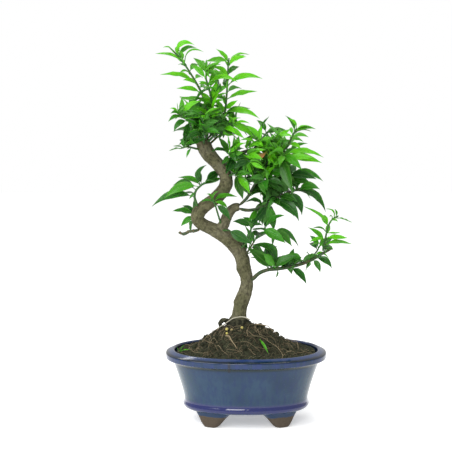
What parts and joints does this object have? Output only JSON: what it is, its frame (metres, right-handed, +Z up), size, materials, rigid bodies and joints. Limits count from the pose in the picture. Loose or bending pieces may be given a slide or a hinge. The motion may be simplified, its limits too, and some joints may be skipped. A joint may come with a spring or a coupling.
{
  "type": "potted bonsai tree",
  "caption": "Bonsai tree with an S-curved trunk and long pointed leaves in an oval glazed footed pot with a soil mound.",
  "frame": {"origin": "bottom centre of the whole object's bounding box, on the plane the pot's feet stand on", "axes": "+Z up, +X to the right along the pot's long side as seen from the front, -Y out of the pot's front towards the viewer"},
  "size_m": [0.185, 0.12, 0.3515],
  "materials": {
    "blue_glaze": "gloss",
    "peat_soil": "matte",
    "bark": "matte",
    "green_bark": "matte",
    "leaf": "satin",
    "fertiliser": "matte",
    "black_plastic": "matte"
  },
  "bodies": {
    "root": {"crown_back": "leaf", "crown_back_left": "leaf", "crown_back_low": "leaf", "crown_back_right": "leaf", "crown_front": "leaf", "crown_left_low": "leaf", "crown_left_under": "leaf", "crown_middle": "leaf", "crown_right_low": "leaf", "crown_tip_left": "leaf", "crown_tip_right": "leaf", "dead_twig": "green_bark", "drain_screen_left": "black_plastic", "drain_screen_right": "black_plastic", "fallen_leaf_left": "leaf", "fallen_leaf_right": "leaf", "front_middle": "leaf", "front_top": "leaf", "front_upright": "leaf", "left_back_shoot": "leaf", "left_shoot": "leaf", "loop_sprout": "leaf", "low_back_shoot": "leaf", "low_branch": "green_bark", "low_branch_riser": "leaf", "low_branch_tip": "leaf", "low_side_shoot": "leaf", "middle_back": "leaf", "middle_front": "leaf", "pellet_1": "fertiliser", "pellet_2": "fertiliser", "pellet_3": "fertiliser", "pellet_4": "fertiliser", "pot": "blue_glaze", "right_back": "leaf", "right_back_low": "leaf", "right_back_top": "leaf", "right_front_low": "leaf", "right_low": "leaf", "right_reach": "leaf", "right_tip": "leaf", "right_top": "leaf", "rising_branch": "green_bark", "side_branch": "green_bark", "soil": "peat_soil", "trunk": "bark", "trunk_bend_sprout": "leaf", "trunk_shoot_back": "leaf", "trunk_shoot_low": "leaf", "trunk_shoot_right": "leaf", "upper_branch": "green_bark"}
  },
  "joints": []
}
